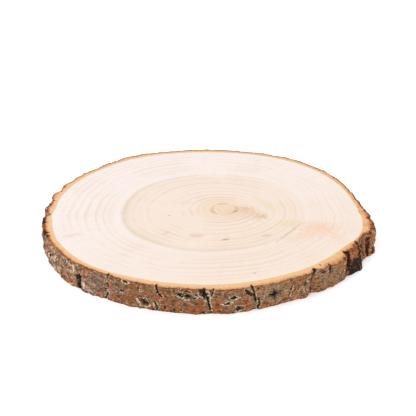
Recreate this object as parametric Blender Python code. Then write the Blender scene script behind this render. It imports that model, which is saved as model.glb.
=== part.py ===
"""A round slice sawn square across a small poplar log, with its bark on.

The slice lies on its sawn underside. It grew as one piece, so wood and bark are one solid. Metres,
+Z up, origin under the middle of the slice. A bearing is an angle round the slice in degrees,
anticlockwise from +X.
"""

import math

import bmesh
import bpy
from mathutils import Vector, noise

NAME = "wood_slice"
LENGTH = 0.332  # the longest side, over the bark, along X
THICKNESS = 0.026
BARK = 0.009  # how wide the bark ring is on the sawn faces
COLUMNS = 300
ROWS = 8

# The log was never quite round: bearing and half-width in degrees, and how far it swells.
SWELLS = (
    (12, 19, -0.0058),  # the flattened side
    (56, 12, 0.0025),
    (119, 12, 0.0035),
    (165, 10, 0.0015),
    (199, 16, 0.0040),
    (223, 12, 0.0060),
    (243, 10, 0.0025),
    (258, 10, 0.0020),
    (275, 14, 0.0024),
    (300, 16, -0.0020),
    (318, 7, 0.0010),
    (329, 6, 0.0040),
    (346.5, 7, 0.0082),  # the corner beside the flattened side
)

# Where the bark has split or broken away: bearing, half-width and depth at the top of the slice, and
# the share of that depth that is left at the bottom.
BREAKS = (
    (88, 1.6, 0.0020, 1.0),
    (137, 1.6, 0.0020, 0.2),
    (162, 1.3, 0.0025, 0.9),
    (171, 1.4, 0.0025, 0.3),
    (183, 1.3, 0.0025, 0.6),
    (224.5, 1.4, 0.0004, 4.0),
    (236, 1.3, 0.0015, 0.8),
    (269, 1.4, 0.0012, 0.8),
    (285, 1.3, 0.0012, 1.0),
    (307.5, 1.3, 0.0020, 1.2),
    (315, 1.4, 0.0020, 0.2),
    (325, 1.2, 0.0045, 0.6),
    (329.5, 4.8, 0.0058, 0.1),  # plates of outer bark are missing here
    (338.5, 3.6, 0.0040, 0.5),  # and here
)

RIDGE_HEIGHT = 0.0014  # how far the plates of bark stand out and sink in
RIDGE_PITCH = 0.012
RIDGE_STRETCH = 0.45  # the plates are taller along the log than they are wide
RIDGE_LAYERS = 3  # of noise, each twice as fine as the one before
LAYER_FINENESS = 2.0
LAYER_SMOOTHNESS = 0.8
SHARP_EDGE = math.radians(40)
WOOD_COLOUR = (0.86, 0.72, 0.56, 1.0)
BARK_COLOUR = (0.20, 0.12, 0.075, 1.0)


def clear_scene():
    for old in list(bpy.data.objects):
        bpy.data.objects.remove(old, do_unlink=True)


def turn_between(bearing, centre):
    """The shorter way round from one bearing to another, in degrees."""
    return (bearing - centre + 180) % 360 - 180


def hump(bearing, centre, half_width):
    """A smooth hump of height 1 that fades out within about two half-widths."""
    return math.exp(-((turn_between(bearing, centre) / half_width) ** 2))


def log_radius(bearing):
    return LENGTH / 2 + sum(height * hump(bearing, at, width) for at, width, height in SWELLS)


def bark_break(bearing, share_up):
    """How deep the bark is broken at a bearing, from the bottom, 0, to the top, 1."""
    depth = 0.0
    for at, width, top_depth, bottom_share in BREAKS:
        fade = bottom_share + (1 - bottom_share) * share_up
        depth += top_depth * fade * hump(bearing, at, width)
    return depth


def bark_ridge(bearing, height):
    """The uneven plates of the bark, from noise laid round the wall."""
    angle = math.radians(bearing)
    round_the_log = LENGTH / 2 / RIDGE_PITCH
    place = Vector(
        (
            math.cos(angle) * round_the_log,
            math.sin(angle) * round_the_log,
            height * RIDGE_STRETCH / RIDGE_PITCH,
        )
    )
    return RIDGE_HEIGHT * noise.fractal(place, LAYER_SMOOTHNESS, LAYER_FINENESS, RIDGE_LAYERS)


def wall_radius(bearing, height):
    share_up = height / THICKNESS
    return log_radius(bearing) - bark_break(bearing, share_up) + bark_ridge(bearing, height)


def sawn_blank():
    """A plain disc with its wall cut into rows, standing on z = 0."""
    blank = bmesh.new()
    bmesh.ops.create_cone(
        blank,
        cap_ends=True,
        segments=COLUMNS,
        radius1=LENGTH / 2,
        radius2=LENGTH / 2,
        depth=THICKNESS,
    )
    bmesh.ops.translate(blank, vec=(0, 0, THICKNESS / 2), verts=blank.verts)
    upright = [edge for edge in blank.edges if edge.verts[0].co.z != edge.verts[1].co.z]
    bmesh.ops.subdivide_edges(blank, edges=upright, cuts=ROWS - 1, use_grid_fill=True)
    return blank


def bearing_of(point):
    return math.degrees(math.atan2(point.co.y, point.co.x))


def move_out_to(point, radius):
    """Slides a point level, along its own bearing, to a distance from the middle."""
    level = point.co.z
    point.co = point.co.xy.normalized().to_3d() * radius
    point.co.z = level


def shape_wall(blank):
    """Pushes each wall point out to the bark, and leaves both sawn faces flat."""
    for point in blank.verts:
        move_out_to(point, wall_radius(bearing_of(point), point.co.z))


def part_bark_from_wood(blank):
    """The wall and a ring of each sawn face are bark; the rest of each sawn face is wood."""
    sawn = [face for face in blank.faces if abs(face.normal.z) > abs(face.normal.xy.length)]
    for face in blank.faces:
        face.material_index = 1
    inner = bmesh.ops.extrude_discrete_faces(blank, faces=sawn)["faces"]
    for face in inner:
        face.material_index = 0
        for point in face.verts:
            move_out_to(point, log_radius(bearing_of(point)) - BARK)


def centre_on_base(blank):
    """Sizes the slice to its length and puts the origin under the middle of its box."""
    xs = [point.co.x for point in blank.verts]
    ys = [point.co.y for point in blank.verts]
    middle = Vector(((min(xs) + max(xs)) / 2, (min(ys) + max(ys)) / 2, 0))
    scale = LENGTH / (max(xs) - min(xs))
    bmesh.ops.translate(blank, vec=-middle, verts=blank.verts)
    bmesh.ops.scale(blank, vec=(scale, scale, 1), verts=blank.verts)


def material(name, colour, roughness):
    made = bpy.data.materials.new(name)
    made.use_nodes = True
    shader = made.node_tree.nodes["Principled BSDF"]
    shader.inputs["Base Color"].default_value = colour
    shader.inputs["Roughness"].default_value = roughness
    shader.inputs["Metallic"].default_value = 0.0
    return made


def make_slice(collection):
    blank = sawn_blank()
    shape_wall(blank)
    blank.normal_update()
    part_bark_from_wood(blank)
    centre_on_base(blank)
    bmesh.ops.triangulate(blank, faces=blank.faces)
    mesh = bpy.data.meshes.new(NAME)
    blank.to_mesh(mesh)
    blank.free()
    mesh.materials.append(material("sawn_wood", WOOD_COLOUR, 0.7))
    mesh.materials.append(material("bark", BARK_COLOUR, 0.9))
    mesh.shade_smooth()
    mesh.set_sharp_from_angle(angle=SHARP_EDGE)
    collection.objects.link(bpy.data.objects.new(NAME, mesh))


def main():
    clear_scene()
    collection = bpy.data.collections.new(NAME)
    bpy.context.scene.collection.children.link(collection)
    make_slice(collection)


main()
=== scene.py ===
"""The looks of a round slice of poplar log with its bark on, lying on its sawn underside.

Metres, +Z up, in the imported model's frame. A bearing is an angle round the slice in degrees,
anticlockwise from +X, and the camera stands at bearing 270. Two pieces stand for the one solid: the
wood, with both sawn faces, and the bark all round it. A share is a part of a whole, from 0 to 1.
"""

import math
import random

import bpy
import numpy as np
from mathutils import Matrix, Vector, noise
from mathutils.bvhtree import BVHTree


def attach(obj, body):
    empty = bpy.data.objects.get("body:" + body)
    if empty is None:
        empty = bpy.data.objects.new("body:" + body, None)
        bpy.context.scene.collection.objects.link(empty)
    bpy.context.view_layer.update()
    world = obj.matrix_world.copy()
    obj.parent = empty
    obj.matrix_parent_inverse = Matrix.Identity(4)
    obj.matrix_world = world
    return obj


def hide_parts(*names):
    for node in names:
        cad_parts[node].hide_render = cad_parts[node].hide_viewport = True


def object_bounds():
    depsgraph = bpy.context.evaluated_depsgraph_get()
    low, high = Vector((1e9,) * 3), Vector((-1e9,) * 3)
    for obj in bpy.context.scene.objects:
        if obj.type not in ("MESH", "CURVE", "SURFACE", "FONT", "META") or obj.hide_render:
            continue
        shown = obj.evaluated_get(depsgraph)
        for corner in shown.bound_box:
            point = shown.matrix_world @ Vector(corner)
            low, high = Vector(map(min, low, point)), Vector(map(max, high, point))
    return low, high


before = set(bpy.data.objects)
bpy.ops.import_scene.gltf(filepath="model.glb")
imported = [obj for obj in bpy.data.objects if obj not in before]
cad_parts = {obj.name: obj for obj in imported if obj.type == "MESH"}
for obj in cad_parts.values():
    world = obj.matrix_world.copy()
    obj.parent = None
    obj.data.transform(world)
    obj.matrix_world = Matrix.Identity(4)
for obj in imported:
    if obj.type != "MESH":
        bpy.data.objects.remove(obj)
CAD_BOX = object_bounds()

NODE = "wood_slice"
MM = 0.001
THICKNESS = CAD_BOX[1].z
MEAN_RADIUS = (CAD_BOX[1].x - CAD_BOX[0].x) / 2
PITH = Vector((0.018, 0.005, 0))  # the log's centre, where its rings started

# The grids of points.
WOOD_COLUMNS = 800
WOOD_ROWS = 14
COLUMNS = 2 * WOOD_COLUMNS  # round the bark, so that every second one meets a column of the wood
WALL_ROWS = 36
TOP_ROWS = 10  # across the sawn edge of the bark
BOTTOM_ROWS = 5

# Where the wood meets the bark on the sawn faces: bearing, and distance from the middle in millimetres.
WOOD_EDGE = (
    (0, 152.6), (10, 151.2), (25, 153.8), (42, 157.2), (57, 158.8), (75, 157.2), (93, 156.7), (107, 158.2),
    (121, 160), (136, 157.6), (150, 156.8), (159, 156), (170, 155.4), (178, 154), (183, 156.8),
    (188, 155.9), (203, 158.6), (219, 160), (228, 160.3), (236, 159), (244, 156.9), (256, 155.9),
    (268, 155.8), (280, 155.3), (293, 153.8), (307, 153.6), (317, 152.4), (324, 152.4), (330, 153.4),
    (335, 156.4), (341, 158), (348, 156.8), (356, 154),
)

# The colour marks that the bark's points carry. The dark one is the bark's own dark in places, and
# painted shade in cracks, recesses and under flake edges.
DARK, PALE, RUST, GREY = range(4)

# The bark is roughest round one bearing, and this far each way from it, in metres.
ROUGHEST = 188
ROUGH_REACH = 0.09
WIDE_CRACK = 1.5  # a crack with a larger half-width, in millimetres, is partly filled with crumbs

# Cracks in the bark: half-width, depth and paleness of the lips, then the course of the crack as
# bearings and shares of the height.
CRACKS = (
    (1.9, 1.8, 0.7, ((224.7, 0.55), (224.2, 0.35), (224.5, 0.02))),
    (0.7, 2.2, 1, ((236.1, 1.02), (236.3, 0.9), (236.8, 0.76))),
    (0.7, 1.6, 0.8, ((236.3, 0.29), (235.9, 0.18), (235.4, 0))),
    (0.8, 2.4, 1, ((253.6, 1.02), (254.2, 0.84), (255.3, 0.62))),
    (0.7, 2, 0.9, ((253.2, 0.36), (253.9, 0.1))),
    (0.7, 2.6, 1, ((269, 0.9), (270.2, 0.56), (270.4, 0.4), (270.9, 0.17))),
    (2.8, 1.2, 0.9, ((268.4, 0.94), (269.3, 0.72))),
    (0.5, 1.6, 0.8, ((271.9, 1.02), (271.5, 0.85), (271.1, 0.72))),
    (0.8, 2.6, 0.8, ((284, 1.02), (284.7, 0.8), (285, 0.62), (285.7, 0.36))),
    (0.7, 2.2, 0.7, ((286.7, 0.42), (286.9, 0.25), (286.1, -0.02))),
    (1.6, 0.9, 0.7, ((282.4, 0.84), (284, 0.66))),
    (0.6, 1.4, 0.8, ((298.6, 0.64), (298.3, 0.45), (297.7, 0.24))),
    (1.3, 2.8, 0.5, ((308.6, 1.02), (307.4, 0.85), (306.8, 0.6), (306.9, 0.3), (306.9, -0.02))),
    (1.8, 0.9, 0.1, ((307.9, 1.02), (307.7, 0.88))),
    (1.9, 0.3, 0.1, ((306.9, 0.3), (306.9, -0.02))),
    (1, 2, 0.1, ((315.2, 1.02), (314.8, 0.69))),
    (1.1, 2.4, 0, ((325, 1.02), (325.5, 0.6), (325.4, 0.1))),
    (1, 2.2, 0, ((333.9, 1.02), (334.3, 0.6), (333.6, 0.2))),
    (0.8, 1.8, 0.2, ((339, 0.95), (338.4, 0.45))),
    (0.9, 1.8, 0.2, ((162, 1.02), (162.4, 0.62), (161.6, 0.3))),
    (0.9, 2.2, 0.2, ((170.4, 1.02), (171.2, 0.7))),
    (1, 2.2, 0.3, ((183, 1.02), (183.6, 0.75), (183, 0.45))),
    (0.9, 2, 0.4, ((199.6, 1.02), (200.6, 0.8))),
    (0.5, 0.7, 0.9, ((215.4, 0.92), (217.4, 0.8), (219, 0.78))),
    (0.5, 0.7, 0.9, ((218.2, 0.93), (217.2, 0.8), (216.4, 0.66))),
)

# Where plates of the bark end in a sharp edge: bearing, drop, and how soon the bark rises again, in
# millimetres, which is negative where it drops towards lower bearings.
BROKEN_EDGES = (
    (325.2, 2.8, 6), (334.4, -1.6, 5), (342.2, 3, -8), (314.7, 0.9, -6), (285, 0.8, 7), (254.2, 0.7, -8),
    (236.4, 0.8, 6), (225.2, 1, -6), (199.8, 1.4, 8), (183.2, 1.6, -7), (170.8, 1.3, 6), (143, 1, -6),
    (112, 1.2, 7), (64, 1, -8), (28, 1.3, 7),
)

# Stretches of the wall that stand out: bearing, half-length and depth in millimetres, and the share of
# the height that they reach up to.
SWELLS = (
    (357.5, 11, 2.6, 1),
    (333.5, 7, 3.4, 0.6),
    (304.5, 4, 1.8, 0.4),
)

# Where a plate of the outer bark came away and left torn fibres: bearing, and half-length in millimetres.
TORN = (
    (329.5, 15),
    (344, 20),
)

# The bark that faces away from the camera: its first bearing, the one that it ends before, counted on
# past 360, and the degrees between one made-up feature and the next.
HIDDEN_BARK = (345, 557, 6)
HIDDEN_CRACKS = 0.55  # the share of them that are cracks; the rest are eyes
SPECKS = 150  # small pits and scales all round

# Where the outer bark, brown all through, takes up more of the sawn edge: bearing, half-width in degrees,
# and how much more.
BROWN_RIMS = (
    (184, 12, 0.45), (207, 10, 0.12), (226, 14, 0.22), (8, 14, 0.22), (345, 9, 0.45), (332, 6, 0.4),
    (318, 5, 0.15), (50, 20, 0.12), (90, 25, 0.12), (130, 20, 0.12),
)

# Where the rim was knocked down, so that the sawn edge slopes to it: bearing, half-width in degrees, and
# the drop and overhang in millimetres.
RIM_DROPS = (
    (258, 8, 0, 1.4), (276, 10, 0, 3), (292, 10, 0.4, 3.2), (306, 8, 1, 2.6), (318.5, 6, 3.8, 1.8),
    (330, 4, 1.8, 0), (337, 3, 1.6, 0), (346, 5, 1.2, 0),
)

# Eyes, which are lenticels grown wide: bearing, share of the height, half-length and half-height in
# millimetres, tilt in degrees, how far out the dark heart reaches, how pale the rim is, and the
# power that makes the outline round (2), pointed (1) or a star (below 1).
EYES = (
    (198.5, 0.45, 3.4, 3.6, 0, 0.5, 0.7, 2),
    (201.5, 0.8, 3.2, 2.6, 15, 0.6, 0.8, 1.6),
    (203.3, 0.37, 3, 2.4, 20, 0.55, 0.8, 2),
    (206, 0.55, 2.4, 3.4, 0, 0.5, 0.7, 2),
    (213.7, 0.25, 4.2, 2.6, -30, 0.45, 0.6, 2),
    (210.4, 0.62, 2.6, 1.6, 10, 0.4, 0.8, 1.4),
    (243.2, 0.94, 4.2, 1.9, -8, 0.45, 0.9, 1.5),
    (242, 0.55, 3.6, 1.2, -8, 0.5, 0.3, 1.5),
    (249.5, 0.26, 7, 4.4, -14, 0.36, 1, 1.6),
    (263.3, 0.7, 10.5, 4.4, -4, 0.2, 1, 1.2),
    (261.2, 0.76, 2.6, 1.8, -8, 0.7, 0, 1.5),
    (263.8, 0.7, 2.8, 1.9, 0, 0.7, 0, 1.5),
    (266, 0.65, 1.9, 1.3, 0, 0.7, 0, 1.5),
    (268.9, 0.82, 5.6, 4.6, 0, 0.3, 1, 1.3),
    (268.7, 0.05, 2.2, 1.8, 0, 0.5, 0.5, 2),
    (276.4, 0.43, 5, 2.4, 10, 0.4, 0.9, 1.3),
    (278.3, 0.66, 5.4, 3.2, 0, 0.5, 1, 1),
    (279.8, 0.16, 6.5, 3.4, 6, 0.34, 0.8, 1.5),
    (282.5, 0.83, 1.8, 1.6, 0, 0.6, 0.2, 2),
    (292.1, 0.52, 11.5, 8.5, 8, 0.36, 0.8, 0.8),
    (303.7, 0.62, 2.8, 1.7, 10, 0.6, 0.2, 1.5),
    (311.2, 0.84, 3.2, 1.5, 12, 0.6, 0.3, 1.5),
    (319.5, 0.4, 3, 1.6, 12, 0.3, 0.6, 1.5),
)

# Soft patches of colour: which mark, how strong, bearing, share of the height, and half-length and
# half-height in millimetres. The dark patches at bearings 223 to 225 and 326 to 350 are painted shade.
PATCHES = (
    (RUST, 0.8, 227.6, 0.76, 3.5, 4), (PALE, 0.8, 226.7, 0.25, 1.6, 3.4),
    # The two dark patches on the next line are painted shade in the notch of the wide crack.
    (PALE, 0.8, 221.8, 0.72, 1.2, 5), (DARK, 0.9, 224.4, 0.14, 3, 4.5), (DARK, 0.8, 223.4, 0.5, 2.2, 3),
    (PALE, 0.8, 208.6, 0.66, 1.7, 7), (PALE, 0.7, 206.2, 0.8, 1.5, 4), (RUST, 0.8, 219.9, 0.03, 5, 2.5),
    (PALE, 0.5, 207.8, 0.95, 2, 2), (RUST, 0.7, 237.2, 0.5, 3, 5), (RUST, 0.5, 247.5, 0.85, 5, 3),
    (RUST, 0.8, 252.4, 0.18, 3, 4), (RUST, 0.7, 254.8, 0.48, 5, 4), (RUST, 0.8, 257, 0.15, 6, 4),
    (RUST, 0.9, 267.6, 0.28, 4, 6), (RUST, 0.9, 272.8, 0.28, 5, 7), (RUST, 0.7, 282.5, 0.3, 6, 5),
    (RUST, 0.7, 288.5, 0.12, 6, 3), (GREY, 0.8, 263, 0.72, 13, 6.5), (GREY, 0.6, 242, 0.62, 4, 4),
    (GREY, 0.8, 250, 0.28, 9, 6), (GREY, 0.8, 277.5, 0.6, 9, 7), (GREY, 0.9, 292, 0.55, 17, 11),
    (GREY, 0.6, 303, 0.55, 9, 9), (GREY, 0.55, 314.5, 0.55, 19, 13), (GREY, 0.6, 212, 0.55, 14, 8),
    (GREY, 0.9, 231, 0.55, 9, 11), (RUST, 0.5, 340, 0.6, 14, 9), (RUST, 1, 330.4, 0.85, 13, 9),
    # The dark patches from bearing 326 on are painted shade in the torn recesses, darkest low down.
    (RUST, 1, 332.5, 0.66, 6, 6), (RUST, 0.8, 344, 0.9, 9, 5), (DARK, 1, 326.2, 0.55, 3.6, 13),
    (DARK, 1, 329.5, 0.22, 12, 9), (DARK, 1, 333.4, 0.16, 7, 7), (DARK, 0.9, 331, 0.4, 4, 5),
    (DARK, 1, 335.4, 0.6, 2.2, 13), (DARK, 1, 338.2, 0.7, 2, 5), (DARK, 1, 338.8, 0.25, 2.6, 4),
    (DARK, 1, 342, 0.5, 1.5, 11), (DARK, 0.8, 344.4, 0.2, 3, 4), (DARK, 0.9, 347, 0.8, 1.8, 4),
    (DARK, 0.8, 350, 0.35, 1.8, 4), (DARK, 0.7, 188, 0.98, 8, 3.4), (DARK, 0.6, 196, 0.9, 6, 4),
)

# Pits in the top sawn edge of the bark: bearing, distance from the middle, half-size outward and
# half-size round, in millimetres.
EDGE_PITS = (
    (311.8, 156.8, 1.1, 1.1), (327.6, 158, 2.4, 0.9), (334.5, 158, 1.7, 1.4), (338.6, 161.5, 2.2, 1),
    (343.6, 167.4, 3.4, 2.2), (346.8, 168, 3.2, 0.9), (350.2, 167.5, 2.4, 0.9), (354.5, 163.5, 2.2, 0.8),
    (0.5, 160, 2.2, 0.9),
)

# The growth rings that show: how far out from the pith, as a share, and how strongly.
RINGS = (
    (0.05, 0.3), (0.13, 0.5), (0.165, 0.7), (0.205, 1), (0.255, 0.7), (0.315, 0.5), (0.375, 0.3),
    (0.452, 0.8), (0.495, 0.4), (0.535, 0.7), (0.59, 0.6), (0.672, 0.5), (0.705, 0.65), (0.752, 0.7),
    (0.815, 0.75), (0.868, 0.4), (0.915, 0.35), (0.95, 0.3),
)
RAMP_SPLIT = 0.51  # a ramp holds 32 stops, so the inner rings and the outer ones have one each
RING_RISE = 0.022  # a ring darkens slowly outward
RING_FALL = 0.004  # and ends sharply
HEART_EDGE = 0.59  # the ring share where heart meets sapwood
TO_LEFT = (-0.8, -0.6, 0)  # the level way to the left end, where they meet most crisply
YELLOWING = (2.9, -3.9, 0)  # how much yellower the wood gets in each metre along X and Y
PIT_DEPTH = 0.8 * MM

CAMERA_ELEVATION = 25
CAMERA_DISTANCE = 1.27
CAMERA_LENS = 108.6
CAMERA_AIM = Vector((0.5 * MM, 7.7 * MM, THICKNESS))
FLOOR_SIZE = 8
FLOOR_GLOW = 0.34  # keeps the floor nearly as white as the sky
SKY_STRENGTH = 0.72
LIGHTS = (  # name, place, size in metres and watts
    ("key", (-0.9, -1.0, 1.6), 1.2, 14),
    ("back", (0.8, 1.2, 1.5), 1.4, 9),
)


def fade(value, nothing_at, full_at):
    """0 at one value and 1 at the other, with a smooth step between."""
    share = np.clip((value - nothing_at) / (full_at - nothing_at), 0, 1)
    return share * share * (3 - 2 * share)


def bell(value):
    """1 at zero, fading smoothly to almost 0 at two, each way."""
    return np.exp(-(value**2))


def blur_round(values, reach):
    """Averages a grid round the slice, over a number of columns each way."""
    steps = range(-reach, reach + 1)
    weights = [1 + reach - abs(step) for step in steps]
    rolled = (weight * np.roll(values, step, axis=0) for step, weight in zip(steps, weights))
    return sum(rolled) / sum(weights)


def fractal(points, pitch, octaves, stretch=1.0):
    """Noise of about -1 to 1 at each point of a grid. Its lumps are a pitch wide, and taller if
    stretched. A number added to the points gives another pattern."""
    scaled = points.reshape(-1, 3) * np.array((1, 1, 1 / stretch)) / pitch
    values = [noise.fractal(Vector(point), 0.7, 2.0, octaves) for point in scaled]
    return np.array(values).reshape(points.shape[:-1])


def round_points(bearings, radii):
    """Level points at each bearing and radius."""
    angles = np.radians(bearings)
    return np.stack([np.cos(angles) * radii, np.sin(angles) * radii], axis=-1)


def bearings_of(columns):
    return np.arange(columns) * 360 / columns


# -------------------- the log's outline, from the frame


def wall_heights():
    """The heights of the wall's rows, with one more close to each rim, where the bark is rounded off."""
    even = np.linspace(0, THICKNESS, WALL_ROWS + 1)
    close = 0.3 * MM
    return np.sort(np.append(even, (close, THICKNESS - close)))


def cad_wall(bearings, heights):
    """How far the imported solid's wall is from the axis, at each bearing and height."""
    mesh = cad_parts[NODE].data
    tree = BVHTree.FromPolygons([v.co for v in mesh.vertices], [p.vertices for p in mesh.polygons])
    inside = np.clip(heights, 0.5 * MM, THICKNESS - 0.5 * MM)  # a level ray just at a rim might miss
    radii = np.empty((len(bearings), len(heights)))
    for column, bearing in enumerate(bearings):
        out = Vector((math.cos(math.radians(bearing)), math.sin(math.radians(bearing)), 0))
        for row, height in enumerate(inside):
            start = out * 2 * MEAN_RADIUS + Vector((0, 0, height))
            radii[column, row] = tree.ray_cast(start, -out)[0].xy.length
    return blur_round(radii, 2)


def wood_edge():
    """The line where wood meets bark: a level point for each column of the bark."""
    bearings = bearings_of(COLUMNS)
    stations, radii = np.transpose(WOOD_EDGE)
    radii = blur_round(np.interp(bearings, stations, radii, period=360) * MM, 6)
    plain = np.zeros((COLUMNS, 3))
    plain[:, :2] = round_points(bearings, MEAN_RADIUS)
    uneven = 0.35 * MM * fractal(plain, 9 * MM, 2)
    edge = round_points(bearings, radii + uneven)
    edge[1::2] = (edge[0::2] + np.roll(edge[0::2], -1, axis=0)) / 2  # on the chords of the wood's outline
    return edge


# -------------------- the bark's relief


class Wall:
    """The outer wall of the bark, as a grid of bearings and heights: how far each point is pushed out
    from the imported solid, and the colour marks that it carries."""

    def __init__(self, points, bearings, heights):
        self.points = points
        self.bearings = bearings[:, None]
        self.shares = heights[None, :] / THICKNESS
        self.out = np.zeros(points.shape[:2])
        self.marks = np.zeros(points.shape[:2] + (4,))
        self.ragged = fractal(points, 2.6 * MM, 2)
        self.grit = fractal(points + 0.5, 1.3 * MM, 2)

    def mark(self, kind, amount):
        self.marks[..., kind] = np.maximum(self.marks[..., kind], amount)

    def from_place(self, bearing, share):
        """How far round and how far up each point is from a place, in metres."""
        turn = (self.bearings - bearing + 180) % 360 - 180
        return np.radians(turn) * MEAN_RADIUS, (self.shares - share) * THICKNESS

    def plates(self):
        """The bark's uneven plates, over their finer roughness. The roughest are also more worn away."""
        x, _ = self.from_place(ROUGHEST, 0.5)
        rough = bell(x / ROUGH_REACH)
        height = 0.55 + 0.55 * rough
        plates = fractal(self.points, 8 * MM, 3, stretch=1.2)
        scales = np.abs(fractal(self.points + 2.0, 5 * MM, 3, stretch=0.8))
        fine = fractal(self.points + 1.0, 2.0 * MM, 3)
        self.out += MM * (height * plates + 0.5 * height * (0.3 - scales) + 0.32 * fine - 1.1 * rough)

    def flakes(self):
        """Thin flakes of the outer bark lie over each other, and some of their edges are pale. Painted
        shade darkens the foot of some steps, under the flake above.
        """
        layers = 2.2 * fractal(self.points + 3.0, 9 * MM, 2, stretch=0.6) + 0.3 * self.ragged
        level = np.floor(layers)
        into = layers - level
        lifted = fade(fractal(self.points + 4.0, 16 * MM, 2), -0.1, 0.3)
        self.out += 0.35 * MM * (level + fade(into, 0.38, 0.62))
        self.mark(PALE, 0.7 * lifted * bell((into - 0.64) / 0.11) * fade(self.grit, -0.5, 0.0))
        # Painted shade along the foot of each step, under the edge of the flake above.
        self.mark(DARK, 0.8 * lifted * bell((into - 0.38) / 0.12) * fade(self.grit, 0.5, 0.0))

    def crack(self, half_width, depth, lips, course):
        """A crack along a course, painted dark inside as painted shade, with raised lips and a grey
        border.
        """
        start, level = course[0]
        x, y = self.from_place(start, level)
        stops = [(math.radians(b - start) * MEAN_RADIUS, (s - level) * THICKNESS) for b, s in course]
        near = np.full(self.out.shape, MEAN_RADIUS)
        side = np.zeros(self.out.shape)
        for (x0, y0), (x1, y1) in zip(stops, stops[1:]):
            run, rise = x1 - x0, y1 - y0
            along = np.clip(((x - x0) * run + (y - y0) * rise) / (run * run + rise * rise), 0, 1)
            off_x, off_y = x - x0 - along * run, y - y0 - along * rise
            reach = np.hypot(off_x, off_y)
            side = np.where(reach < near, np.sign(off_x), side)
            near = np.minimum(near, reach)
        near = np.maximum(near / MM + 0.5 * self.ragged + 0.7 * self.grit, 0)
        lip_at = 1.6 * half_width + 0.5
        lip = lips * bell((near - lip_at) / 0.42) * np.where(side > 0, 1.0, 0.6)
        open_part = fade(self.grit, 0.5, 0.0) if half_width > WIDE_CRACK else 1.0
        self.out += 0.4 * MM * lip - depth * MM * open_part * bell(near / half_width)
        # Painted shade: the open part of the crack is marked dark.
        self.mark(DARK, open_part * fade(near, half_width + 0.2, half_width - 0.35))
        self.mark(PALE, lip * fade(self.grit, -0.9, -0.1))
        self.mark(GREY, fade(near, lip_at + 0.8, half_width))

    def eye(self, bearing, share, half_length, half_height, tilt, heart, rim, power):
        """A grey hollow with a darker heart and a raised rim."""
        x, y = self.from_place(bearing, share)
        cos, sin = math.cos(math.radians(tilt)), math.sin(math.radians(tilt))
        across = np.abs(cos * x + sin * y) / (half_length * MM)
        up = np.abs(cos * y - sin * x) / (half_height * MM)
        reach = (across**power + up**power) ** (1 / power) + 0.25 * self.ragged + 0.2 * self.grit
        inside = fade(reach, 1.15, 0.85)
        sunk = fade(reach, heart + 0.3, heart - 0.1)
        outline = bell((reach - 0.95) * half_height / 0.46)
        size = min(half_length, half_height) / 3
        self.out += size * MM * (0.3 * outline - 0.35 * inside - 0.6 * sunk)
        self.mark(DARK, sunk * fade(self.grit, 0.9, 0.4))
        self.mark(DARK, 0.4 * inside * fade(self.grit, 0.1, -0.3))
        self.mark(PALE, rim * outline * fade(self.grit, -1.0, -0.2))
        self.mark(GREY, inside)

    def patch(self, kind, strength, bearing, share, half_length, half_height):
        """A patch of colour with a ragged edge. A dark patch in a recess is painted shade."""
        x, y = self.from_place(bearing, share)
        reach = np.hypot(x / (half_length * MM), y / (half_height * MM)) + 0.5 * self.ragged
        self.mark(kind, strength * fade(reach, 1.3, 0.6) * fade(self.grit, -1.0, -0.3))

    def fibres(self, bearing, half_length):
        """Torn upright fibres, where a plate of the outer bark came away. The raised ones are browner."""
        x, _ = self.from_place(bearing, 0.5)
        torn = fade(np.abs(x), half_length * MM, 0.7 * half_length * MM)
        strands = fractal(self.points, 1.8 * MM, 2, stretch=7.0)
        self.out += 0.7 * MM * torn * strands
        raised = torn * fade(strands, 0.15, 0.6)
        # The dark marks, painted shade in this recess, are lifted off the raised fibres and stay between
        # them.
        self.marks[..., DARK] *= 1 - 0.7 * raised
        self.mark(RUST, 0.9 * raised)

    def broken_edge(self, bearing, drop, reach):
        """A plate that ends in a sharp edge: the bark drops there and rises again over the reach, which is
        towards lower bearings where it is negative. It drops most at the top."""
        x, _ = self.from_place(bearing, 0.5)
        x = x * math.copysign(1, reach) + 0.8 * MM * self.ragged
        low = fade(x, -0.6 * MM, 0.8 * MM) * fade(x, abs(reach) * MM, 0.0)
        self.out -= drop * MM * low * (0.35 + 0.65 * self.shares)

    def swell(self, bearing, half_length, depth, top):
        """A stretch that stands out, over the whole height or up to a share of it."""
        x, _ = self.from_place(bearing, 0.0)
        up_to_top = 1.0 if top == 1.0 else fade(self.shares, top, 0.1)
        self.out += depth * MM * bell(x / (half_length * MM)) * up_to_top

    def crumble(self, heights):
        """The saw rounded both rims off a little, more in some places than in others."""
        to_rim = np.minimum(heights, THICKNESS - heights)[None, :]
        self.out -= 0.4 * MM * np.maximum(0.8 + self.ragged + self.grit, 0) * fade(to_rim, 1.0 * MM, 0.0)


def hidden_crack(draw, bearing):
    """A crack that starts at a bearing, as one row of CRACKS."""
    start, end = draw.choice(((1.02, 0.5), (1.02, -0.02), (0.45, -0.02), (0.75, 0.3)))
    middle = (bearing + draw.uniform(-1, 1), (start + end) / 2)
    last = (bearing + draw.uniform(-1.5, 1.5), end)
    course = ((bearing, start), middle, last)
    return draw.uniform(0.6, 1.2), draw.uniform(1.4, 3.0), draw.uniform(0.1, 1.0), course


def hidden_eye(draw, bearing):
    """An eye at a bearing, as one row of EYES."""
    long = draw.uniform(2.5, 8.0)
    tall = long * draw.uniform(0.4, 0.7)
    power = draw.choice((0.8, 1.0, 1.5, 2.0))
    return bearing, draw.uniform(0.2, 0.8), long, tall, draw.uniform(-15, 15), 0.42, 0.7, power


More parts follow.
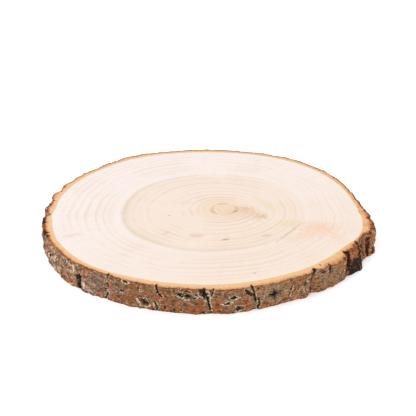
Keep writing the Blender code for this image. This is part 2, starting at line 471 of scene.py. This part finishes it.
def scatter_features(wall):
    """Cracks, eyes and patches for the bark that faces away from the camera. Pale patches are small."""
    draw = random.Random(11)
    for bearing in range(*HIDDEN_BARK):
        place = bearing % 360 + draw.uniform(-2.5, 2.5)
        if draw.random() < HIDDEN_CRACKS:
            wall.crack(*hidden_crack(draw, place))
        else:
            wall.eye(*hidden_eye(draw, place))
        kind = draw.choice((RUST, RUST, GREY, GREY, PALE))
        spread = draw.uniform(3, 12) * (0.35 if kind == PALE else 1.0)
        wall.patch(kind, draw.uniform(0.4, 0.8), place + 3, draw.uniform(0.1, 0.9), spread, spread * 0.8)


def scatter_specks(wall):
    draw = random.Random(5)
    for _ in range(SPECKS):
        long = draw.uniform(0.8, 1.9)
        tall = long * draw.uniform(0.5, 1.0)
        place = (draw.uniform(0, 360), draw.uniform(0.05, 0.95))
        tilt = draw.uniform(-40, 40)
        heart = draw.uniform(0.2, 0.7)
        wall.eye(*place, long, tall, tilt, heart, draw.uniform(0, 0.8), 1.5)


def shaped_wall(points, bearings, heights):
    wall = Wall(points, bearings, heights)
    wall.plates()
    wall.flakes()
    for swell in SWELLS:
        wall.swell(*swell)
    for edge in BROKEN_EDGES:
        wall.broken_edge(*edge)
    for crack in CRACKS:
        wall.crack(*crack)
    for eye in EYES:
        wall.eye(*eye)
    for patch in PATCHES:
        wall.patch(*patch)
    for stretch in TORN:
        wall.fibres(*stretch)
    scatter_features(wall)
    scatter_specks(wall)
    wall.crumble(heights)
    return wall


# -------------------- the two meshes


def new_piece(name, points, faces):
    mesh = bpy.data.meshes.new(name)
    mesh.from_pydata(points.tolist(), [], faces)
    piece = bpy.data.objects.new(name, mesh)
    bpy.context.scene.collection.objects.link(piece)
    return piece


def give_values(piece, name, kind, field, values):
    attribute = piece.data.attributes.new(name, kind, "POINT")
    attribute.data.foreach_set(field, np.asarray(values, dtype=np.float32).ravel())


def humps(bearings, places, column):
    """The sum of smooth humps round the slice, whose heights are in this column of the list of places."""
    total = np.zeros(len(bearings))
    for place in places:
        turn = (bearings - place[0] + 180) % 360 - 180
        total += place[column] * bell(turn / place[1])
    return total


def bark_section(edge, rims, wall_points, wall):
    """The grid of the bark: for each column a closed loop of points, out along the underside, up the wall
    and in along the top. Also how far each point is across the sawn edge, where 0 is at the wood, 1 at
    the rim, or sooner where the edge is brown, and 2 on the wall. And the colour marks."""
    bearings = bearings_of(COLUMNS)
    brown = humps(bearings, BROWN_RIMS, 2)
    drops = humps(bearings, RIM_DROPS, 2) * MM

    def sawn_edge(shares, rim, height, lift, rim_marks):
        shares = shares[None, :]
        level = edge[:, None, :] + (rim - edge)[:, None, :] * shares[..., None]
        points = np.concatenate([level, np.full(level.shape[:2] + (1,), height)], axis=-1)
        worn = (0.12 + 0.16 * fractal(points, 2.5 * MM, 3)) * MM * fade(shares, 0.0, 0.5)
        points[..., 2] += lift * np.maximum(worn, 0)
        marks = rim_marks[:, None, :] * fade(shares, 0.5, 0.95)[..., None]
        uneven = 1 + 0.9 * fractal(points, 3 * MM, 2)
        across = shares * (1 + brown[:, None] * np.maximum(uneven, 0))
        return points, across, marks

    out = np.linspace(0, 1, BOTTOM_ROWS, endpoint=False)
    back = np.linspace(1, 0, TOP_ROWS + 1)[1:]
    bottom = sawn_edge(out, rims[0], 0.0, 1, wall.marks[:, 0])
    top = sawn_edge(back, rims[1], THICKNESS, -1, wall.marks[:, -1])
    top[0][..., 2] -= drops[:, None] * fade(back, 0.25, 1.0)[None, :]
    wall_points[..., 2] -= drops[:, None] * wall.shares**3
    wall_across = np.full(wall.out.shape, 2.0)
    wall_across[:, (0, -1)] = 1.0
    parts = (bottom, (wall_points, wall_across, wall.marks), top)
    return [np.concatenate([part[kind] for part in parts], axis=1) for kind in range(3)]


def sink_edge_pits(points, marks, first):
    """Small dark pits in the top sawn edge, whose rows start at the first."""
    for bearing, radius, half_out, half_round in EDGE_PITS:
        outward = round_points(bearing, 1.0)
        from_pit = points[:, first:, :2] - outward * radius * MM
        reach_out = from_pit @ outward / (half_out * MM)
        reach_round = from_pit @ np.array((-outward[1], outward[0])) / (half_round * MM)
        pit = fade(np.hypot(reach_out, reach_round), 1.3, 0.4)
        points[:, first:, 2] -= PIT_DEPTH * pit
        marks[:, first:, DARK] = np.maximum(marks[:, first:, DARK], pit)


def grid_faces(columns, rows):
    """Quads of a grid that closes on itself both ways. Its points are numbered column by column."""
    faces = []
    for column in range(columns):
        here = column * rows
        there = (column + 1) % columns * rows
        for row in range(rows):
            above = (row + 1) % rows
            faces.append((here + row, there + row, there + above, here + above))
    return faces


def crease_rows(piece, rows, creased):
    """Marks as sharp every edge that runs along one of the creased rows."""
    mesh = piece.data
    ends = np.empty(len(mesh.edges) * 2, dtype=np.int32)
    mesh.edges.foreach_get("vertices", ends)
    ends = ends.reshape(-1, 2) % rows
    sharp = (ends[:, 0] == ends[:, 1]) & np.isin(ends[:, 0], creased)
    attribute = mesh.attributes.new("sharp_edge", "BOOLEAN", "EDGE")
    attribute.data.foreach_set("value", sharp)


def lay_bark_flat(piece, columns, rows, heights):
    """A UV map for the bake: the ring of bark is cut into strips, which lie above each other."""
    strips = 5
    gap = 0.006
    tall = 1 / strips - gap
    per_strip = columns // strips
    steps = np.append(heights, 1.0)
    column, row = np.divmod(np.arange(columns * rows), rows)
    strip, local = np.divmod(column, per_strip)
    low, high = steps[row] * tall, steps[row + 1] * tall
    base = strip / strips + gap / 2
    left = local / per_strip * (1 - gap) + gap / 2
    right = (local + 1) / per_strip * (1 - gap) + gap / 2
    corners = [(left, base + low), (right, base + low), (right, base + high), (left, base + high)]
    flat = np.stack([np.stack(corner, axis=-1) for corner in corners], axis=1)
    piece.data.uv_layers.new(name="OFBake").data.foreach_set("uv", flat.astype(np.float32).ravel())


def make_bark(edge, bearings, heights, radii):
    plain = np.empty(radii.shape + (3,))
    plain[..., :2] = round_points(bearings[:, None], radii)
    plain[..., 2] = heights[None, :]
    wall = shaped_wall(plain, bearings, heights)
    wall_points = plain.copy()
    overhang = humps(bearings, RIM_DROPS, 3)[:, None] * MM * fade(wall.shares, 0.2, 1.0)
    wall_points[..., :2] = round_points(bearings[:, None], radii + wall.out + overhang)
    rims = (wall_points[:, 0, :2], wall_points[:, -1, :2])
    points, across, marks = bark_section(edge, rims, wall_points, wall)
    first_top_row = BOTTOM_ROWS + len(heights)
    sink_edge_pits(points, marks, first_top_row)

    rows = points.shape[1]
    piece = new_piece("bark", points.reshape(-1, 3), grid_faces(COLUMNS, rows))
    give_values(piece, "across", "FLOAT", "value", across)
    give_values(piece, "marks", "FLOAT_COLOR", "color", marks)
    piece.data.shade_smooth()
    crease_rows(piece, rows, (0, BOTTOM_ROWS, first_top_row - 1, rows - 1))

    # Shares of a strip's height: for a sawn edge, and for the side against the wood.
    wide, hidden = 0.2, 0.04
    shares = np.concatenate([
        np.linspace(0, wide, BOTTOM_ROWS, endpoint=False),
        wide + heights / THICKNESS * (1 - 2 * wide - hidden),
        1 - hidden - np.linspace(wide, 0, TOP_ROWS + 1)[1:],
    ])
    lay_bark_flat(piece, COLUMNS, rows, shares)
    return piece


def wood_points(edge):
    """Rings of points from the pith to the wood's edge, on the top face and then on the underside, and
    how far out each lies among the growth rings, which even out the bends of the edge further in."""
    shares = np.linspace(0, 1, WOOD_ROWS + 1)[1:]
    pith = np.array(PITH.xy)
    level = pith + (edge - pith)[None, :, :] * shares[:, None, None]
    faces = []
    for height in (THICKNESS, 0.0):
        centre = np.append(pith, height)[None, :]
        rings = np.concatenate([level, np.full(level.shape[:2] + (1,), height)], axis=-1).reshape(-1, 3)
        faces.append(np.concatenate([centre, rings]))
    reach = np.linalg.norm(edge - pith, axis=-1)
    bend = 36  # columns: shorter bends of the edge are evened out
    even = blur_round(blur_round(reach, bend), bend)
    outward = shares[:, None]
    ring_shares = outward * (reach / even)[None, :] ** (1 - outward**5)
    return np.concatenate(faces), np.tile(np.append(0.0, ring_shares), 2)


def wood_faces(columns):
    """Triangles round the pith and quads beyond, on both faces, and quads down the edge between them."""
    per_face = 1 + columns * WOOD_ROWS
    faces = []
    for first, up in ((0, True), (per_face, False)):
        for column in range(columns):
            after = (column + 1) % columns
            ring = first + 1
            left, right = (column, after) if up else (after, column)
            faces.append((first, ring + left, ring + right))
            for row in range(WOOD_ROWS - 1):
                inner, outer = ring + row * columns, ring + (row + 1) * columns
                quad = (inner + column, outer + column, outer + after, inner + after)
                faces.append(quad if up else quad[::-1])
    top = 1 + (WOOD_ROWS - 1) * columns
    for column in range(columns):
        after = (column + 1) % columns
        faces.append((top + column, per_face + top + column, per_face + top + after, top + after))
    return faces


def lay_wood_flat(piece):
    """A UV map for the bake: the top face is large, the underside smaller in the far corner, and the
    hidden edge between them, whose quads come last, small in a third."""
    mesh = piece.data
    corners = np.empty(len(mesh.loops), dtype=np.int32)
    mesh.loops.foreach_get("vertex_index", corners)
    points = np.array([vertex.co[:] for vertex in mesh.vertices])
    top, under, side, gap = 0.36, 0.21, 0.12, 0.005
    level = points[corners, :2] / MEAN_RADIUS
    flat = gap + top * (1 + level)
    below = corners >= len(points) // 2
    flat[below] = 1 - gap - under * (1 - level[below])
    column = np.arange(WOOD_COLUMNS)[:, None] + np.array((0, 0, 1, 1))
    rise = np.broadcast_to((1, 0, 0, 1), column.shape)
    strip = np.stack([1 - gap - side + side * column / WOOD_COLUMNS, gap + side * rise], axis=-1)
    flat[-4 * WOOD_COLUMNS:] = strip.reshape(-1, 2)
    mesh.uv_layers.new(name="OFBake").data.foreach_set("uv", flat.astype(np.float32).ravel())


def make_wood(edge):
    points, shares = wood_points(edge[0::2])
    piece = new_piece("wood", points, wood_faces(WOOD_COLUMNS))
    give_values(piece, "ring", "FLOAT", "value", shares)
    piece.data.shade_flat()
    lay_wood_flat(piece)
    return piece


# -------------------- materials


def colour(red, green, blue, light=1.0):
    """A screen colour in steps of 0 to 255, as a shader's linear value, under a light of this strength."""
    def linear(step):
        value = step / 255
        return ((value + 0.055) / 1.055) ** 2.4 if value > 0.04 else value / 12.92
    return tuple(linear(step) / light for step in (red, green, blue)) + (1.0,)


class Paint:
    """A material, with short calls that add nodes to it. A feed is a socket to link or a value to set."""

    def __init__(self, name):
        self.material = bpy.data.materials.new(name)
        self.material.use_nodes = True
        self.tree = self.material.node_tree
        self.shader = self.tree.nodes["Principled BSDF"]
        self.place = self.node("TexCoord", {}, output="Object")

    def feed(self, socket, value):
        if isinstance(value, bpy.types.NodeSocket):
            self.tree.links.new(value, socket)
        else:
            socket.default_value = value

    def node(self, kind, feeds, output=0, **settings):
        made = self.tree.nodes.new("ShaderNode" + kind)
        for name, value in settings.items():
            setattr(made, name, value)
        for name, value in feeds.items():
            self.feed(made.inputs[name], value)
        return made.outputs[output]

    def attribute(self, name, output="Fac"):
        return self.node("Attribute", {}, output, attribute_name=name)

    def part(self, axis):
        """One coordinate of the place, in metres."""
        return self.node("SeparateXYZ", {"Vector": self.place}, axis)

    def math(self, operation, first, second=0.0, third=0.0):
        return self.node("Math", {0: first, 1: second, 2: third}, operation=operation)

    def times(self, first, second, plus=0.0):
        return self.math("MULTIPLY_ADD", first, second, plus)

    def vector(self, operation, first, second=(0, 0, 0), output="Vector"):
        return self.node("VectorMath", {0: first, 1: second}, output, operation=operation)

    def between(self, value, low, high, to_low=0.0, to_high=1.0):
        """Maps a value from one range to another, with a smooth step and no overshoot."""
        feeds = {"Value": value, "From Min": low, "From Max": high, "To Min": to_low, "To Max": to_high}
        return self.node("MapRange", feeds, interpolation_type="SMOOTHSTEP")

    def noise(self, per_metre, detail=2.0, rough=0.5, at=None):
        feeds = {"Vector": at or self.place, "Scale": per_metre, "Detail": detail, "Roughness": rough}
        return self.node("TexNoise", feeds, output="Fac")

    def stray(self, width, *noise):
        """Noise that strays as far below 0 as above it, over a width."""
        return self.times(self.noise(*noise), width, -width / 2)

    def mix(self, factor, first, second, blend="MIX"):
        feeds = {0: factor, 6: first, 7: second}
        return self.node("Mix", feeds, output=2, data_type="RGBA", blend_type=blend)

    def stain(self, factor, body, tint):
        """Multiplies a colour by a tint, as far as the factor says."""
        return self.mix(factor, body, tint + (1.0,), "MULTIPLY")

    def layers(self, body, covers):
        """Lays screen colours over a colour. Each comes after how much it covers."""
        for cover, tone in covers:
            body = self.mix(cover, body, colour(*tone))
        return body

    def ramp(self, factor, stops):
        """A colour ramp. Each stop is a position and either a colour or a grey value."""
        made = self.tree.nodes.new("ShaderNodeValToRGB")
        band = made.color_ramp
        band.elements.remove(band.elements[1])
        for number, (position, value) in enumerate(stops):
            stop = band.elements.new(position) if number else band.elements[0]
            stop.position = position
            stop.color = value if isinstance(value, tuple) else (value, value, value, 1.0)
        self.feed(made.inputs["Fac"], factor)
        return made.outputs["Color"]

    def spot(self, ragged, x, y, half_length, half_width, turn):
        """1 inside an oval on the sawn faces, fading to 0 at its ragged edge. Millimetres and degrees."""
        feeds = {
            "Vector": self.place,
            "Location": (x * MM, y * MM, 0),
            "Rotation": (0, 0, math.radians(turn)),
            "Scale": (half_length * MM, half_width * MM, 1),
        }
        local = self.node("Mapping", feeds, vector_type="TEXTURE")
        reach = self.vector("LENGTH", local, output="Value")
        return self.between(self.math("ADD", reach, ragged), 1.2, 0.0)

    def surface(self, body, rough, relief, strength, depth):
        """Sets the colour and roughness, and lights the relief as if it rose by the depth in metres."""
        bump = self.node("Bump", {"Height": relief, "Strength": strength, "Distance": depth})
        for name, value in (("Base Color", body), ("Roughness", rough), ("Normal", bump)):
            self.feed(self.shader.inputs[name], value)
        return self.material


LIGHT_ON_TOP = 1.10  # how much brighter than its own colour a level white surface looks in this light


def seen(red, green, blue):
    """The colour of a level surface that looks like this in the studio's light."""
    return colour(red, green, blue, LIGHT_ON_TOP)


# Marks on the sawn faces: colour, strength, x and y of the middle, half-length and half-width in
# millimetres, and turn in degrees.
FACE_MARKS = (
    ((104, 70, 50), 0.9, 29, 0.2, 3, 2.6, 0),  # the dark speck beside the pith
    ((218, 168, 126), 0.45, 38, 6, 10, 7, -20),
    ((202, 158, 116), 0.5, 52.5, -12, 10, 10, -20),
    ((228, 184, 142), 0.4, 44, -1, 19, 10, -42),
    ((236, 202, 160), 0.4, 33, -4, 28, 18, -20),
    ((240, 214, 160), 0.45, 60, 16, 22, 7, -60),  # yellower streaks to the right of the pith
    ((240, 216, 166), 0.5, 82, -28, 18, 9, 10),
    ((178, 136, 108), 0.4, 79, -51, 31, 2, 57),  # a long thin stain
    ((250, 200, 160), 0.55, 108, -40, 26, 17, 10),  # the peach patch
    ((251, 208, 172), 0.45, 92, -58, 26, 12, 20),
    ((250, 210, 176), 0.4, 124, -58, 24, 10, -60),
    ((188, 132, 92), 0.7, 17.6, -64.5, 5, 2.6, 45),
    ((214, 152, 128), 0.36, -11, -56, 9, 6, 0),
    ((190, 160, 140), 0.45, -40.5, -51, 6, 1.8, 50),
    ((205, 170, 140), 0.45, 58, -55.5, 7, 3, 25),
    ((230, 202, 182), 0.4, -131, -55, 12, 5, 30),
    ((104, 110, 118), 0.8, 43, -134, 1.6, 1.4, 0),
    ((170, 140, 110), 0.55, -38.5, -9.5, 1.6, 1.4, 0),
    ((238, 210, 156), 0.4, -24, 20, 9, 5, 0),
)


def ring_stops(low, high):
    """Ramp stops for the rings between two ring shares."""
    stops = [(0.0, 0.0)]
    end = low
    for ring, strength in RINGS:
        if not low < ring < high:
            continue
        start = max(ring - RING_RISE, end)
        end = ring + RING_FALL
        stops += [((start - low) / (high - low), 0.0), ((ring - low) / (high - low), strength)]
        stops += [((end - low) / (high - low), 0.0)]
    return stops[:1] + [stop for stop in stops[1:] if stop[0] > 0]


def ring_lines(paint, ring):
    """How strongly a ring shows: 0 between rings, up to 1 on a strong one. Fainter on the right."""
    inner = paint.ramp(paint.math("DIVIDE", ring, RAMP_SPLIT), ring_stops(0.0, RAMP_SPLIT))
    outer_share = paint.math("DIVIDE", paint.math("SUBTRACT", ring, RAMP_SPLIT), 1 - RAMP_SPLIT)
    outer = paint.ramp(outer_share, ring_stops(RAMP_SPLIT, 1.0))
    fading = paint.between(paint.noise(22, 2), 0.36, 0.60, 0.15, 1.0)  # they come and go round the log
    faint = paint.between(paint.part("X"), 0.05, 0.11, 1.0, 0.5)
    return paint.times(paint.times(paint.math("ADD", inner, outer), fading), faint)


def wood_tones(paint, ring, away):
    """The pale sapwood and the faintly tan heart, and the darker wood round the pith. Sapwood and heart
    meet softly, but more crisply on the left, along a thin darker band."""
    to_left = paint.vector("DOT_PRODUCT", away, TO_LEFT, output="Value")
    drift = paint.vector("DOT_PRODUCT", paint.place, YELLOWING, output="Value")
    yellowed = paint.between(paint.times(paint.noise(9, 2), 0.5, drift), -0.25, 1.15)
    sap = paint.mix(yellowed, seen(255, 243, 238), seen(252, 234, 219))
    heart = paint.mix(yellowed, seen(253, 236, 223), seen(252, 232, 213))
    on_left = paint.between(to_left, -0.4, 0.9)
    crisp = paint.times(paint.between(ring, HEART_EDGE - 0.030, HEART_EDGE + 0.030), on_left)
    soft = paint.between(ring, HEART_EDGE - 0.060, HEART_EDGE + 0.050)
    soft = paint.times(soft, paint.math("SUBTRACT", 1.0, on_left))
    body = paint.mix(paint.math("ADD", crisp, soft), heart, sap)

    pithy = paint.between(ring, 0.24, 0.04)
    body = paint.mix(paint.times(pithy, 0.75), body, seen(246, 222, 193))
    pith_ring = paint.times(paint.between(ring, 0.062, 0.079), paint.between(ring, 0.098, 0.084))
    pith_ring = paint.times(pith_ring, paint.between(paint.noise(110, 2), 0.38, 0.6, 0.1, 0.6))
    body = paint.mix(pith_ring, body, seen(208, 160, 108))

    band_in = paint.between(ring, HEART_EDGE - 0.060, HEART_EDGE - 0.005)
    band_out = paint.between(ring, HEART_EDGE + 0.025, HEART_EDGE - 0.005)
    band = paint.times(paint.times(band_in, band_out), paint.between(to_left, -0.6, 0.9, 0.0, 0.65))
    return paint.mix(band, body, seen(240, 222, 203))


def wood_grain(paint, body, ring, away, lines, pores):
    """Darkens the wood a little along its rings and rays, in its pores and in faint clouds."""
    growth = {"W": paint.times(ring, 38.0), "Detail": 3.0, "Scale": 1.0}
    growth = paint.node("TexNoise", growth, output="Fac", noise_dimensions="1D")
    some = paint.between(paint.noise(26, 2), 0.40, 0.65, 0.0, 0.4)
    out_along = paint.node("CombineXYZ", {"Z": paint.times(ring, 4.0)})
    rays = paint.vector("ADD", paint.vector("MULTIPLY", away, (38, 38, 38)), out_along)
    stains = (
        (paint.times(lines, 0.9), (0.88, 0.76, 0.65)),
        (paint.times(paint.between(growth, 0.45, 0.72), some), (0.95, 0.88, 0.79)),
        (paint.between(paint.noise(1.0, 3, 0.6, at=rays), 0.52, 0.72, 0.0, 0.5), (0.96, 0.91, 0.85)),
        (paint.between(pores, 0.50, 0.68, 0.0, 0.35), (0.93, 0.87, 0.81)),
        (paint.between(paint.noise(45, 3, 0.6), 0.50, 0.72, 0.0, 0.5), (0.985, 0.95, 0.915)),
    )
    for factor, tint in stains:
        body = paint.stain(factor, body, tint)
    return body


def wood_material():
    paint = Paint("sawn_poplar")
    share = paint.attribute("ring")
    bend = paint.stray(0.060, 15, 1)
    waver = paint.stray(0.018, 90, 3, 0.6)
    ring = paint.math("ADD", paint.math("ADD", share, bend), waver)
    from_pith = paint.vector("SUBTRACT", paint.place, PITH)
    away = paint.vector("NORMALIZE", paint.vector("MULTIPLY", from_pith, (1, 1, 0)))
    lines = ring_lines(paint, ring)
    pores = paint.noise(650, 2, 0.7)
    body = wood_grain(paint, wood_tones(paint, ring, away), ring, away, lines, pores)

    ragged = paint.stray(3.0, 330, 4, 0.75)
    for tone, strength, *oval in FACE_MARKS:
        body = paint.mix(paint.times(paint.spot(ragged, *oval), strength), body, seen(*tone))

    rough = paint.between(pores, 0.3, 0.8, 0.52, 0.70)
    grain = paint.times(lines, -0.5, pores)
    return paint.surface(body, rough, grain, strength=0.12, depth=0.2 * MM)


DUSTY = (1.12, 1.17, 1.30)  # fine dust in its pores pales the bark

# The fresh sawn edge, from the pale cambium out to the brown rim: share across it, and colour.
SAWN_EDGE = (
    (0, seen(248, 232, 208)),
    (0.04, seen(250, 222, 186)),
    (0.1, seen(246, 204, 156)),
    (0.56, seen(246, 200, 149)),
    (0.8, seen(232, 172, 120)),
    (0.93, seen(206, 138, 88)),
    (1, seen(156, 94, 54)),
)


class BarkPaint(Paint):
    """The bark's material, with the noises and the colour marks that its parts share."""

    def __init__(self):
        super().__init__("poplar_bark")
        self.across = self.attribute("across")
        self.height = self.part("Z")
        self.to_right = self.part("X")
        self.plates = self.noise(170, 5, 0.7, at=self.flat(0))
        self.flecks = self.noise(400, 3, 0.7, at=self.flat(1))
        self.tint = self.noise(190, 4, 0.7, at=self.flat(2))
        self.on_left = self.between(self.to_right, -0.06, -0.12)
        rough_spots = self.between(self.noise(110, 2, at=self.flat(3)), 0.42, 0.60, 0.6, 1.0)
        self.rough_spots = self.math("MAXIMUM", rough_spots, self.on_left)

        marks = self.node("SeparateColor", {0: self.attribute("marks", "Color")}).node.outputs
        self.greyness = self.attribute("marks", "Alpha")
        self.dark = self.crisp(marks[DARK], self.flecks, 0.9)
        self.pale = self.crisp(marks[PALE], self.flecks, 1.1)
        self.rust = self.crisp(marks[RUST], self.tint, 1.6)
        self.grey = self.crisp(self.greyness, self.tint, 1.6)

    def flat(self, number):
        """Coordinates for a noise of its own, whose lumps are wider than they are tall."""
        feeds = {"Vector": self.place, "Location": (number, 0, 0), "Scale": (1, 1, 1.7)}
        return self.node("Mapping", feeds)

    def crisp(self, mark, grain, roughness):
        """A colour mark with its soft edge broken up by the grain of the bark."""
        broken = self.times(grain, roughness, mark)
        return self.between(broken, 0.3 + roughness / 2, 0.6 + roughness / 2)

    def plain_wall(self):
        """The weather-worn outside, from broad patches down to flecks, and blotches on the left."""
        broad = self.between(self.noise(60, 3, 0.6), 0.40, 0.60)
        by_top = self.between(self.height, THICKNESS - 2.2 * MM, THICKNESS - 0.3 * MM, 0.0, 0.5)
        by_bottom = self.between(self.height, 3.0 * MM, 0.6 * MM, 0.0, 0.85)
        dark_flecks = self.between(self.flecks, 0.45, 0.37, 0.0, 0.9)
        pale_flecks = self.between(self.flecks, 0.57, 0.65, 0.0, 0.65)
        blotches = self.noise(130, 3, 0.7, at=self.flat(4))
        return self.layers(self.mix(broad, colour(144, 104, 66), colour(164, 100, 52)), (
            (self.between(self.tint, 0.51, 0.60, 0.0, 0.6), (140, 116, 84)),
            (self.between(self.tint, 0.47, 0.39, 0.0, 0.7), (166, 84, 30)),
            (self.times(self.grey, 0.6), (138, 118, 88)),
            (self.times(self.rust, 0.8), (170, 88, 36)),
            (self.times(by_top, self.between(self.tint, 0.4, 0.5)), (126, 66, 32)),
            (self.times(by_bottom, self.between(self.tint, 0.44, 0.54)), (162, 82, 30)),
            (self.between(self.plates, 0.47, 0.39, 0.0, 0.85), (84, 56, 40)),
            (self.between(self.plates, 0.55, 0.63, 0.0, 0.5), (190, 154, 116)),
            (self.times(dark_flecks, self.rough_spots), (54, 38, 30)),
            (self.times(pale_flecks, self.rough_spots), (216, 186, 146)),
            (self.times(self.on_left, self.between(blotches, 0.47, 0.41, 0.0, 0.7)), (84, 58, 46)),
            (self.times(self.on_left, self.between(blotches, 0.54, 0.61, 0.0, 0.6)), (210, 184, 164)),
        ))

    def wall(self):
        """The outside with its dust and a painted shade left of the middle, and over them the grey, pale
        and dark marks.
        """
        body = self.stain(self.on_left, self.plain_wall(), (1.05, 1.05, 1.12))
        # Painted shade: the wall just left of the middle, where the key light falls strongest, is
        # darkened.
        from_middle = self.between(self.to_right, 0.06, -0.01)
        painted_shade = self.times(from_middle, self.between(self.to_right, -0.13, -0.09))
        body = self.stain(painted_shade, body, (0.78, 0.77, 0.82))
        body = self.stain(1.0, body, DUSTY)
        ash = self.times(self.flecks, 0.6, self.greyness)
        body = self.layers(body, (
            (self.between(ash, 1.2, 1.38, 0.0, 0.8), (84, 68, 56)),
            (self.times(self.pale, 0.9), (228, 206, 174)),
        ))
        # The dark marks' colour: the bark's own dark in eyes, specks and pits, and painted shade in
        # cracks, recesses and under flake edges.
        dark_and_shade = self.mix(self.between(self.flecks, 0.57, 0.66), colour(30, 17, 11), colour(92, 66, 48))
        return self.mix(self.times(self.dark, 0.95), body, dark_and_shade)

    def sawn_edge(self):
        """The sawn edge, with dark specks in its outer part. Its right end is darker."""
        shift = self.stray(0.26, 260, 3, 0.6)
        body = self.ramp(self.math("ADD", self.across, shift), SAWN_EDGE)
        outer = self.between(self.across, 0.35, 0.95, 0.15, 0.9)
        specks = self.times(outer, self.between(self.flecks, 0.49, 0.38))
        body = self.stain(specks, body, (0.60, 0.42, 0.30))
        mottle = self.between(self.plates, 0.44, 0.54, 0.1, 1.0)
        darker = self.times(self.between(self.to_right, 0.10, 0.165), mottle)
        body = self.stain(darker, body, (0.86, 0.70, 0.56))
        # The dark marks: pits, and at the rim the wall's dark marks, which are painted shade where they
        # come from cracks and recesses.
        return self.mix(self.times(self.dark, 0.9), body, colour(52, 32, 26))


def bark_material():
    paint = BarkPaint()
    body = paint.mix(paint.between(paint.across, 1.02, 1.3), paint.sawn_edge(), paint.wall())
    rough = paint.between(paint.flecks, 0.3, 0.7, 0.95, 0.78)
    relief = paint.times(paint.plates, 1.4, paint.times(paint.flecks, paint.rough_spots))
    relief = paint.times(relief, paint.between(paint.across, 1.0, 1.2, 0.25, 1.0))
    paint.feed(paint.shader.inputs["Specular IOR Level"], 0.2)
    return paint.surface(body, rough, relief, strength=0.9, depth=0.9 * MM)


# -------------------- floor, light and camera


def make_floor():
    bpy.ops.mesh.primitive_plane_add(size=FLOOR_SIZE, location=(0, 0, -0.1 * MM))
    floor = bpy.context.object
    floor.name = "floor"
    paint = Paint("pale_floor")
    paint.feed(paint.shader.inputs["Base Color"], (0.90, 0.90, 0.90, 1))
    paint.feed(paint.shader.inputs["Roughness"], 0.9)
    paint.feed(paint.shader.inputs["Emission Color"], (1, 1, 1, 1))
    paint.feed(paint.shader.inputs["Emission Strength"], FLOOR_GLOW)
    floor.data.materials.append(paint.material)


def soft_box(name, location, size, watts):
    """A square area light that faces the slice."""
    light = bpy.data.lights.new(name, "AREA")
    light.energy = watts
    light.size = size
    lamp = bpy.data.objects.new(name, light)
    lamp.location = location
    lamp.rotation_euler = (-Vector(location)).to_track_quat("-Z", "Y").to_euler()
    bpy.context.scene.collection.objects.link(lamp)


def light_studio():
    world = bpy.data.worlds.new("white_studio")
    world.use_nodes = True
    background = world.node_tree.nodes["Background"].inputs
    background["Color"].default_value = (1, 1, 1, 1)
    background["Strength"].default_value = SKY_STRENGTH
    bpy.context.scene.world = world
    for light in LIGHTS:
        soft_box(*light)
    bpy.context.scene.view_settings.view_transform = "Standard"


def make_camera():
    """Looks down at the slice from its front, with the slice a little below the middle of the view."""
    camera = bpy.data.objects.new("camera", bpy.data.cameras.new("camera"))
    elevation = math.radians(CAMERA_ELEVATION)
    back = Vector((0, -math.cos(elevation), math.sin(elevation)))
    camera.location = Vector((0.0, 0.0, THICKNESS)) + back * CAMERA_DISTANCE
    camera.rotation_euler = (CAMERA_AIM - camera.location).to_track_quat("-Z", "Y").to_euler()
    camera.data.lens = CAMERA_LENS
    bpy.context.scene.collection.objects.link(camera)
    bpy.context.scene.camera = camera


def finish_piece(piece, material):
    piece.data.materials.append(material)
    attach(piece, "root")
    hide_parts(NODE)


def main():
    bearings = bearings_of(COLUMNS)
    heights = wall_heights()
    radii = cad_wall(bearings, heights)
    edge = wood_edge()
    finish_piece(make_wood(edge), wood_material())
    finish_piece(make_bark(edge, bearings, heights, radii), bark_material())
    make_floor()
    light_studio()
    make_camera()


main()
